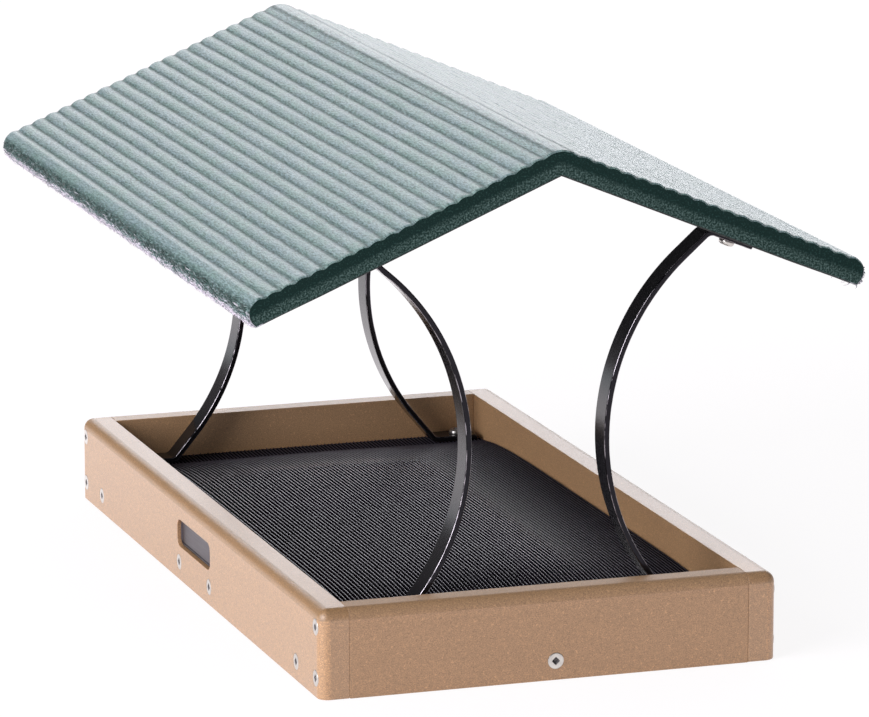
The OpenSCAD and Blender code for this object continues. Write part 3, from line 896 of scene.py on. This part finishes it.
def roof_half():
    """The outline of the roof's right half in X and Z: from the ridge over the ribs to the nose's
    outermost point, and back along the underside to below the ridge. Its valleys are softened by
    blurring the ribs' heights with a bell curve. With it come each point's distance down the
    slope, and the number of points before the nose."""
    # each rib has its points close together at the valley
    stops = (np.arange(ROOF_RIBS)[:, None] + np.array(RIB_STOPS)[None]).ravel()
    s = FIRST_VALLEY + np.append(stops, ROOF_RIBS) * RIB_PITCH
    # the blur works in steps of about 0.02 mm and reaches nearly four times its own width
    fine = np.linspace(0, LAST_VALLEY + 4, 8000)
    reach = 80
    bell = np.exp(-0.5 * (np.arange(-reach, reach + 1) * fine[1] / VALLEY_SOFT) ** 2)
    soft = np.convolve(np.pad(slope_top(fine), reach, mode="edge"), bell / bell.sum(),
                       mode="valid")
    n = np.interp(s, fine, soft)
    # the ridge bump is a wide round over the first valleys
    valley_x, _, valley_z = on_slope(FIRST_VALLEY, 0, ROOF_T)
    bump_r = (valley_x ** 2 + RIDGE_BUMP ** 2) / (2 * RIDGE_BUMP)
    bump_x = np.linspace(0, valley_x, BUMP_STEPS)[:-1]
    bump_z = valley_z + RIDGE_H + RIDGE_BUMP - bump_r + np.sqrt(bump_r ** 2 - bump_x ** 2)
    # the nose rises from the last valley onto its round and turns under to the flat underside
    rise = np.linspace(0, 1, RISE_STEPS)[1:-1]
    rise_n = n[-1] + (ROOF_T + RIB_H - n[-1]) * np.sin(rise * np.pi / 2)
    angle = np.linspace(0, math.acos(-NOSE_N / NOSE_R), NOSE_STEPS)
    under_s = np.linspace(NOSE_S + NOSE_R * math.sin(angle[-1]), 0, UNDER_STEPS)[1:]
    all_s = np.concatenate([s, LAST_VALLEY + rise * NOSE_RUN, NOSE_S + NOSE_R * np.sin(angle),
                            under_s])
    all_n = np.concatenate([n, rise_n, NOSE_N + NOSE_R * np.cos(angle), 0 * under_s])
    line = on_slope(all_s, 0 * all_s, all_n)[:, ::2] + (0, RIDGE_H)
    line[-1, 0] = 0
    line = np.concatenate([np.stack([bump_x, bump_z], axis=1), line])
    return line, np.concatenate([bump_x, all_s]), len(bump_x) + len(s) + len(rise)


def roof_surface():
    """The whole roof: the closed outline carried along the ridge. Rows are drawn in near the ends
    to round the sawn edges, and smooth noise lets the ribs sink and wander a little. With it come
    each point's place on the unrolled roof and its height over the underside."""
    line, run, ribbed = roof_half()
    ring = np.concatenate([line, line[-2:0:-1] * (-1, 1)])
    down = np.concatenate([run, -run[-2:0:-1]])
    across, half = len(ring), len(line)
    tangent = np.roll(ring, -1, axis=0) - np.roll(ring, 1, axis=0)
    tangent /= np.linalg.norm(tangent, axis=1)[:, None]
    normal = np.stack([-tangent[:, 1], tangent[:, 0]], axis=1)
    turn = np.linspace(0, np.pi / 2, ROUND_STEPS)
    near = END_SPARE + SAWN_EDGE * (1 - np.sin(turn))[::-1]
    inner = np.linspace(-ROOF_L / 2 + 2.5, ROOF_L / 2 - 2.5, ROOF_ROWS)
    rows_y = np.concatenate([-ROOF_L / 2 + near, inner, (ROOF_L / 2 - near)[::-1]])
    inset = SAWN_EDGE * (1 - np.cos(turn))
    inset = np.concatenate([inset[::-1], np.zeros(ROOF_ROWS), inset])
    rows = len(rows_y)
    # full play on the ribs, none at the ridge, on the nose and below; the nose is drawn in a little
    # for its fibres
    place = np.arange(across)
    place = np.minimum(place, across - place)
    play = np.clip(np.minimum(place, ribbed - place) / 12.0, 0, 1)[None]
    waves = SHORT_WAVES * smooth_noise((rows, across), (3, 2), 11)
    waves += LONG_WAVES * smooth_noise((rows, across), (22, 8), 12)
    sink = (np.minimum(waves, MEAN_SINK) - MEAN_SINK) * play
    wander = WANDER * smooth_noise((rows, across), (9, 7), 13) * play
    from_ends = np.minimum(place - ribbed, ribbed + NOSE_STEPS + 4 - place)
    drawn = NOSE_SPARE * np.clip(from_ends / 3.0, 0, 1)
    move = sink - inset[:, None] - SKIN_SPARE - drawn[None]
    xz = ring[None] + normal[None] * move[..., None] + tangent[None] * wander[..., None]
    y = np.broadcast_to(rows_y[:, None], (rows, across))
    points = np.stack([xz[..., 0], y, xz[..., 1]], axis=-1).reshape(-1, 3)
    uv = np.stack([np.broadcast_to(down, (rows, across)), y], axis=-1).reshape(-1, 2)
    # each end is two outlines that meet in the line below the ridge
    outlines = np.arange(half)[None], np.append(np.arange(half - 1, across), 0)[None]
    ends = [np.concatenate([one[:, ::-1], one + (rows - 1) * across]) for one in outlines]
    height = np.abs(xz[..., 0]) * SIN + (xz[..., 1] - RIDGE_H) * COS
    return points, [tube_quads(rows, across), *ends], uv, height.ravel()


class FEEDER_OT_roof(bpy.types.Operator):
    """Make the ribbed roof, bent at its ridge, with speckled sawn ends"""
    bl_idname = "feeder.roof"
    bl_label = "Roof"

    def execute(self, context):
        settings = context.scene.feeder_roof
        points, faces, uv, height = roof_surface()
        is_end = np.arange(sum(len(part) for part in faces)) >= len(faces[0])
        new_piece("ribbed_roof", points, faces,
                  [roof_top_material(settings), roof_end_material(settings)], ["roof"],
                  which=is_end, flat=is_end, uv=uv,
                  values={"over_underside": height})
        return {"FINISHED"}


def fibre_roots(count, side, rng):
    """Where the fibres of an eave start, which way they lie, the roof's outward direction and its
    angle there, and how loose they are. They start on the nose's round, just inside it, and lie
    along the eave, turned a little down and out. Those under the nose are loose and turn more."""
    angle = np.radians(rng.triangular(*FIBRE_ANGLES, count))
    out_s, out_n = np.sin(angle), np.cos(angle)
    root_r = NOSE_R - NOSE_SPARE - 0.12
    root = on_slope(NOSE_S + root_r * out_s, rng.uniform(-0.5, 0.5, count) * (ROOF_L - 2.0),
                    NOSE_N + root_r * out_n, side) + (0, 0, RIDGE_H)
    out = on_slope(out_s, 0 * angle, out_n, side)
    down = on_slope(out_n, 0 * angle, -out_s, side)
    along = np.array([0.0, 1.0, 0.0]) * rng.choice([-1, 1], count)[:, None]
    loose = np.clip((angle - 1.4) / 0.6, 0, 1)[:, None]
    way = (along + down * rng.normal(0.1, 0.12 + 0.5 * loose)
           + out * (0.01 + loose * rng.uniform(0.02, 0.22, count)[:, None]))
    way /= np.linalg.norm(way, axis=1)[:, None]
    return root, way, out, angle, loose


def fibre_surface(count, side, seed):
    """Tapering three-sided fibres: a ring at the root, one at the middle that is lifted to bend
    the fibre, and the tip. Nothing goes past the roof's own outermost line. A fibre's shade grows
    towards the bottom of the nose."""
    rng = np.random.default_rng(seed)
    root, way, out, angle, loose = fibre_roots(count, side, rng)
    long = rng.uniform(*FIBRE_LENGTHS, count)[:, None] * (1 - 0.5 * loose)
    thick = rng.uniform(*FIBRE_RADII, count)[:, None]
    across = np.cross(way, out)
    across /= np.linalg.norm(across, axis=1)[:, None]
    up = np.cross(across, way)
    turn = (np.arange(3) * 2 * np.pi / 3)[None, :, None]
    middle = root + way * long * 0.55 + out * (0.16 + 0.3 * loose * rng.random((count, 1)))
    tip = root + way * long + out * rng.uniform(-0.05, 0.15, count)[:, None]

    def ring(centre, radius):
        oval = 1.5 * across[:, None] * np.cos(turn) + 0.6 * up[:, None] * np.sin(turn)
        return centre[:, None] + radius[:, None] * oval

    points = np.concatenate([ring(root, thick), ring(middle, thick * 0.8), tip[:, None]], axis=1)
    points = points.reshape(-1, 3)
    limit = np.array([ROOF_HALF_W, ROOF_L / 2]) - 0.02
    points[:, :2] = np.clip(points[:, :2], -limit, limit)
    quads = tube_quads(2, 3)[:, ::-1]
    ends = np.array([[0, 1, 2], [4, 3, 6], [5, 4, 6], [3, 5, 6]])
    pale = np.clip((angle - 1.2) / 0.5, 0, 1) + rng.normal(0, 0.25, count)
    pale = np.repeat(np.clip(pale, 0.02, 1), 7)
    return points, [repeated(part, count, 7) for part in (quads, ends)], pale


class FEEDER_OT_fibres(bpy.types.Operator):
    """Tear the lower edge of both eaves into short pale fibres"""
    bl_idname = "feeder.fibres"
    bl_label = "Torn fibres"

    def execute(self, context):
        count = context.scene.feeder_roof.fibres
        torn = fibre_material()
        for name, side in (("left", -1), ("right", 1)):
            points, faces, pale = fibre_surface(count, side, 40 + side)
            new_piece(name + "_eave_fibres", points, faces, [torn], (),
                      values={"shade": pale})
        return {"FINISHED"}


# Screws and plate


def screw_rings(profile):
    """A screw as a surface of rings, from the floor of its drive recess out over the head and
    down to its point. Each ring is (height, radius, roundness): roundness 0 is a square standing
    on its corner with that half width, 1 a circle of that radius, and between them the radii are
    mixed."""
    angle = np.arange(SCREW_SPREAD) * 2 * np.pi / SCREW_SPREAD
    square = 1 / np.maximum(np.abs(np.cos(angle - np.pi / 4)), np.abs(np.sin(angle - np.pi / 4)))
    z, radius, roundness = np.array(profile, float).T[..., None]
    radius = radius * (roundness + (1 - roundness) * square)
    points = np.stack([radius * np.cos(angle), radius * np.sin(angle), z + 0 * radius], axis=-1)
    rows = len(profile)
    count = rows * SCREW_SPREAD
    points = np.concatenate([points.reshape(-1, 3),
                             [[0, 0, profile[0][0]], [0, 0, profile[-1][0] - BLUNT_L]]])
    quads = tube_quads(rows, SCREW_SPREAD)[:, ::-1]
    floor = fan(count, np.arange(SCREW_SPREAD))
    point = fan(count + 1, np.arange(count - SCREW_SPREAD, count)[::-1])
    return points, quads, np.concatenate([floor, point])


def shank(length):
    """The last rings of a screw: the end of its plain shank, and its point."""
    return [(POINT_L - length, SHANK_R, 1), (BLUNT_L - length, 0.5, 1)]


def flat_screw(length):
    """A flat-headed screw: square recess, level face with a worn rim, cone and plain shank."""
    return screw_rings([(-1.55, 1.20, 0), (-0.25, 1.34, 0), (-0.06, 1.48, 0.05),
                        (-0.02, 1.75, 0.25), (-0.02, 2.6, 1), (-0.02, 3.7, 1), (-0.08, 4.02, 1),
                        (-0.30, 4.16, 1), (-0.6, 3.95, 1), (-2.6, SHANK_R, 1)] + shank(length))


def pan_screw(length):
    """A pan-headed screw: square recess in a domed head with a straight rim, and plain shank."""
    return screw_rings([(1.05, 1.20, 0), (2.35, 1.34, 0), (2.55, 1.48, 0.05), (2.6, 1.9, 0.4),
                        (2.58, 2.4, 1), (2.3, 3.2, 1), (1.8, 3.75, 1), (1.1, 3.98, 1),
                        (0.15, 4.0, 1), (0.0, 3.9, 1), (0.0, SHANK_R, 1)]
                       + shank(length))


def turned(points, way):
    """Points with their Z axis turned to one of the directions that the flat screws face."""
    x, y, z = points.T
    choices = {"left": (-z, y, x), "right": (z, y, -x), "front": (x, -z, y), "rear": (x, z, -y)}
    return np.stack(choices[way], axis=1)


def screw_group(name, node_name, screw, places, materials):
    """Several equal screws in one piece. places are arrays of a screw's points where it sits. The
    floor and the wall of its recess have the second material."""
    points, quads, fans = screw
    step, count = len(points), len(places)
    inside = [np.arange(len(quads)) < 2 * SCREW_SPREAD, np.arange(len(fans)) < SCREW_SPREAD]
    new_piece(name, np.concatenate(places), [repeated(quads, count, step),
                                             repeated(fans, count, step)],
              materials, [node_name],
              which=np.concatenate([np.tile(part, count) for part in inside]))


class FEEDER_OT_screws(bpy.types.Operator):
    """Put the flat and pan screws in their places"""
    bl_idname = "feeder.screws"
    bl_label = "Screws"

    def execute(self, context):
        # the second material puts painted shade in the drive recesses
        zinc = [zinc_material(context.scene.feeder_metal), recess_shade_material()]
        long_flat, short_flat = flat_screw(CORNER_SCREW_L), flat_screw(ROW_SCREW_L)
        foot_pan, roof_pan = pan_screw(FOOT_SCREW_L), pan_screw(ROOF_SCREW_L)
        for side, sign in (("left", -1), ("right", 1)):
            face = sign * TRAY_W / 2
            corners = [turned(long_flat[0], side) + (face, y, z)
                       for y in (-CORNER_Y, CORNER_Y) for z in (LOW_SCREW_Z, HIGH_SCREW_Z)]
            screw_group(side + "_corner_heads", side + "_corner_screws", long_flat, corners, zinc)
            row = [turned(short_flat[0], side) + (face, y, LOW_SCREW_Z) for y in ROW_YS]
            screw_group(side + "_row_heads", side + "_ledge_screws", short_flat, row, zinc)
        for end, sign in (("front", -1), ("rear", 1)):
            place = turned(short_flat[0], end) + (END_SCREW_X, sign * TRAY_L / 2, LOW_SCREW_Z)
            screw_group(end + "_middle_head", end + "_ledge_screw", short_flat, [place], zinc)
        corners = [(side, y) for y in (-STRUT_Y, STRUT_Y) for side in (-1, 1)]
        foot_x = INNER_W / 2 - FOOT_GAP - TAB_SCREW
        foot_z = LEDGE_H + SCREEN_T + BAR_T
        feet = [foot_pan[0] + (side * foot_x, y, foot_z) for side, y in corners]
        screw_group("foot_heads", "strut_foot_screws", foot_pan, feet, zinc)
        reach = TOP_REACH / COS - BAR_T / 2 * math.tan(PITCH) + TAB_L - TAB_SCREW
        down, along, out = (roof_pan[0] * (1, -1, -1) + (reach, 0, -BAR_T)).T
        hung = on_slope(down, along, out) + (0, 0, RIDGE_H)
        tabs = [hung * (side, side, 1) + (0, y, 0) for side, y in corners]
        screw_group("roof_tab_heads", "strut_roof_screws", roof_pan, tabs, zinc)
        return {"FINISHED"}


def plate_surface():
    """The plate as nested outlines, from its back over a rounded rim and a raised border to a
    level middle. An outline is a rectangle whose corners are round; an inset draws it in and
    makes its corner radius smaller."""
    rings = [(0.0, 0.0), (0.75, 0.0), (1.05, 0.12), (1.2, 0.42), (1.2, 1.0), (1.12, 1.25),
             (0.86, 1.45), (0.80, 1.75), (0.80, 3.2)]
    back_x = -TRAY_W / 2 + RECESS_D
    outlines = []
    for lift, inset in rings:
        radius = max(PLATE_R - inset, 0.3)
        ring = corner_rounds(PLATE_L / 2 - inset, PLATE_H / 2 - inset, radius, PLATE_STEPS)
        ring = ring.reshape(-1, 2) + (0, PLATE_Z)
        outlines.append(np.insert(ring, 0, back_x - lift, axis=1))
    rows, count = len(rings), len(ring)
    points = np.concatenate(outlines + [[[back_x, 0, PLATE_Z],
                                         [back_x - rings[-1][0], 0, PLATE_Z]]])
    quads = tube_quads(rows, count)[:, ::-1]
    back = fan(rows * count, np.arange(count))
    front = fan(rows * count + 1, np.arange((rows - 1) * count, rows * count)[::-1])
    return points, quads, np.concatenate([back, front])


class FEEDER_OT_plate(bpy.types.Operator):
    """Set the bare metal plate into its recess"""
    bl_idname = "feeder.plate"
    bl_label = "Plate"

    def execute(self, context):
        points, quads, fans = plate_surface()
        new_piece("bare_plate", points, [quads, fans],
                  [plate_material(context.scene.feeder_metal)], ["name_plate"])
        return {"FINISHED"}


# Stage


def stand(thing, place, turn):
    """Links a lamp or a camera to the scene, at a place in metres and turned by three angles."""
    bpy.context.scene.collection.objects.link(thing)
    thing.location = place
    thing.rotation_euler = turn


def soft_lamp(name, place, aim, size, glow):
    """A soft lamp at a place in metres, turned to a point that it lights. size is its width and
    height, and its power is pi times its area times glow, the brightness of its face."""
    lamp = bpy.data.lights.new(name, "AREA")
    lamp.shape, lamp.size, lamp.size_y = "RECTANGLE", *size
    lamp.energy = math.pi * size[0] * size[1] * glow
    lamp.color = (0.96, 0.96, 1.0)
    x, y, z = np.array(place, float) - np.array(aim, float)
    stand(bpy.data.objects.new(name, lamp), place,
          (math.atan2(math.hypot(x, y), z), 0, math.atan2(x, -y)))


def is_ray(tree, kind):
    """1 for rays of one kind, such as Camera or Glossy, and 0 for all others."""
    return output(tree, "LightPath", f"Is {kind} Ray")


def room_world(settings):
    """A studio with a white backdrop. Camera and glass rays see plain white. Reflections see the
    backdrop's white low behind the feeder, and a dimmer room above and in front of it. Everything
    else is lit evenly."""
    world = bpy.data.worlds.new("studio")
    world.use_nodes = True
    tree = world.node_tree
    tree.nodes.clear()
    x, y, z = split(output(tree, "TexCoord", "Generated"))
    behind = (y * 0.5 + 0.5).ramp((0.45, 0.35), (0.80, settings.backdrop_glow))
    low = z.ramp((0.11, 1.0), (0.27, 0.2))
    shown = mix(1.0, behind, low, "MULTIPLY")
    # above the horizon the left half of the room is dark
    left = x.math("LESS_THAN", 0.0) * 0.8 * z.math("GREATER_THAN", 0.0)
    shown = mix(left, shown, (0.02, 0.02, 0.02, 1))
    shown = mix(1.0, shown, (1.0, 0.965, 1.0, 1), "MULTIPLY")
    glow = mix(is_ray(tree, "Glossy"), (*[settings.room_glow] * 3, 1), shown)
    lit, plain_white = (output(tree, "Background", 0, {"Color": color, "Strength": 1.0})
                        for color in (glow, (1, 1, 1, 1)))
    seen = is_ray(tree, "Camera").math("MAXIMUM", is_ray(tree, "Transmission"))
    both = output(tree, "MixShader", 0, {0: seen, 1: lit, 2: plain_white})
    node(tree, "OutputWorld", {"Surface": both})
    bpy.context.scene.world = world


def floor_material():
    """White paper that keeps the feeder's shadow: four fifths of what the camera, a mirroring
    surface or glass sees of it is plain white, whatever light falls there. What is mirrored is
    brighter, and its tint changes with the distance behind the feeder."""
    material = bpy.data.materials.new("white_floor")
    material.use_nodes = True
    tree = material.node_tree
    tree.nodes.clear()
    paper = output(tree, "BsdfDiffuse", 0, {"Color": rgb(252, 243, 249)})
    mirrors = is_ray(tree, "Glossy")
    behind = split(output(tree, "NewGeometry", "Position"))[1]
    tint = mix(behind.climb(0.0, 0.4), (1.0, 0.975, 0.985, 1), (1.3, 1.26, 1.29, 1))
    tint = mix(behind.climb(0.8, 2.5), tint, (0.88, 0.975, 1.0, 1))
    tint = mix(mirrors, (1, 1, 1, 1), tint)
    glow = output(tree, "Emission", 0, {"Color": tint, "Strength": mirrors * 0.4 + 1.06})
    seen = is_ray(tree, "Camera").math("MAXIMUM", mirrors)
    seen = seen.math("MAXIMUM", is_ray(tree, "Transmission"))
    both = output(tree, "MixShader", 0, {0: seen * 0.8, 1: paper, 2: glow})
    node(tree, "OutputMaterial", {"Surface": both})
    return material


class FEEDER_OT_stage(bpy.types.Operator):
    """Lay the floor, hang the lamps and place the camera"""
    bl_idname = "feeder.stage"
    bl_label = "Stage"

    def execute(self, context):
        settings = context.scene.feeder_stage
        mesh = bpy.data.meshes.new("floor")
        mesh.from_pydata([(x * FLOOR_HALF, y * FLOOR_HALF, 0)
                          for x, y in ((-1, -1), (1, -1), (1, 1), (-1, 1))], [], [(0, 1, 2, 3)])
        mesh.materials.append(floor_material())
        floor = bpy.data.objects.new("floor", mesh)
        context.scene.collection.objects.link(floor)
        room_world(settings)
        soft_lamp("back_light", (1.5, 3.2, 1.15), (0, 0, 0.15), (3.6, 1.4), settings.back_glow)
        soft_lamp("left_light", (-2.45, -0.95, 1.11), (0, 0, 0.1), (2.2, 1.8), settings.left_glow)
        camera = bpy.data.cameras.new("photo_camera")
        camera.sensor_fit = "HORIZONTAL"
        camera.sensor_width = 36.0
        camera.lens = CAMERA_LENS
        camera.clip_end = 100.0
        holder = bpy.data.objects.new("photo_camera", camera)
        stand(holder, CAMERA_PLACE, CAMERA_TURN)
        context.scene.camera = holder
        context.scene.view_settings.view_transform = "Standard"
        return {"FINISHED"}


OPERATORS = (FEEDER_OT_boards, FEEDER_OT_screen, FEEDER_OT_struts, FEEDER_OT_roof,
             FEEDER_OT_fibres, FEEDER_OT_screws, FEEDER_OT_plate, FEEDER_OT_stage)


class FEEDER_PT_panel(bpy.types.Panel):
    """Lists the feeder's settings and the buttons that build it"""
    bl_idname = "FEEDER_PT_panel"
    bl_label = "Platform feeder"
    bl_space_type = "VIEW_3D"
    bl_region_type = "UI"
    bl_category = "Feeder"

    def draw(self, context):
        for key, group in GROUPS.items():
            box = self.layout.box()
            for name in group.__annotations__:
                box.prop(getattr(context.scene, key), name)
        for operator in OPERATORS:
            self.layout.operator(operator.bl_idname)


CLASSES = (*GROUPS.values(), *OPERATORS, FEEDER_PT_panel)


def register():
    """Adds the settings, operators and panel to Blender."""
    for one in CLASSES:
        bpy.utils.register_class(one)
    for key, group in GROUPS.items():
        setattr(bpy.types.Scene, key, PointerProperty(type=group))


def unregister():
    """Takes them out again, last ones first."""
    for key in GROUPS:
        delattr(bpy.types.Scene, key)
    for one in reversed(CLASSES):
        bpy.utils.unregister_class(one)


def main():
    """Builds every piece and the stage."""
    register()
    bpy.ops.feeder.boards()
    bpy.ops.feeder.screen()
    bpy.ops.feeder.struts()
    bpy.ops.feeder.roof()
    bpy.ops.feeder.fibres()
    bpy.ops.feeder.screws()
    bpy.ops.feeder.plate()
    bpy.ops.feeder.stage()


if __name__ == "__main__":
    main()
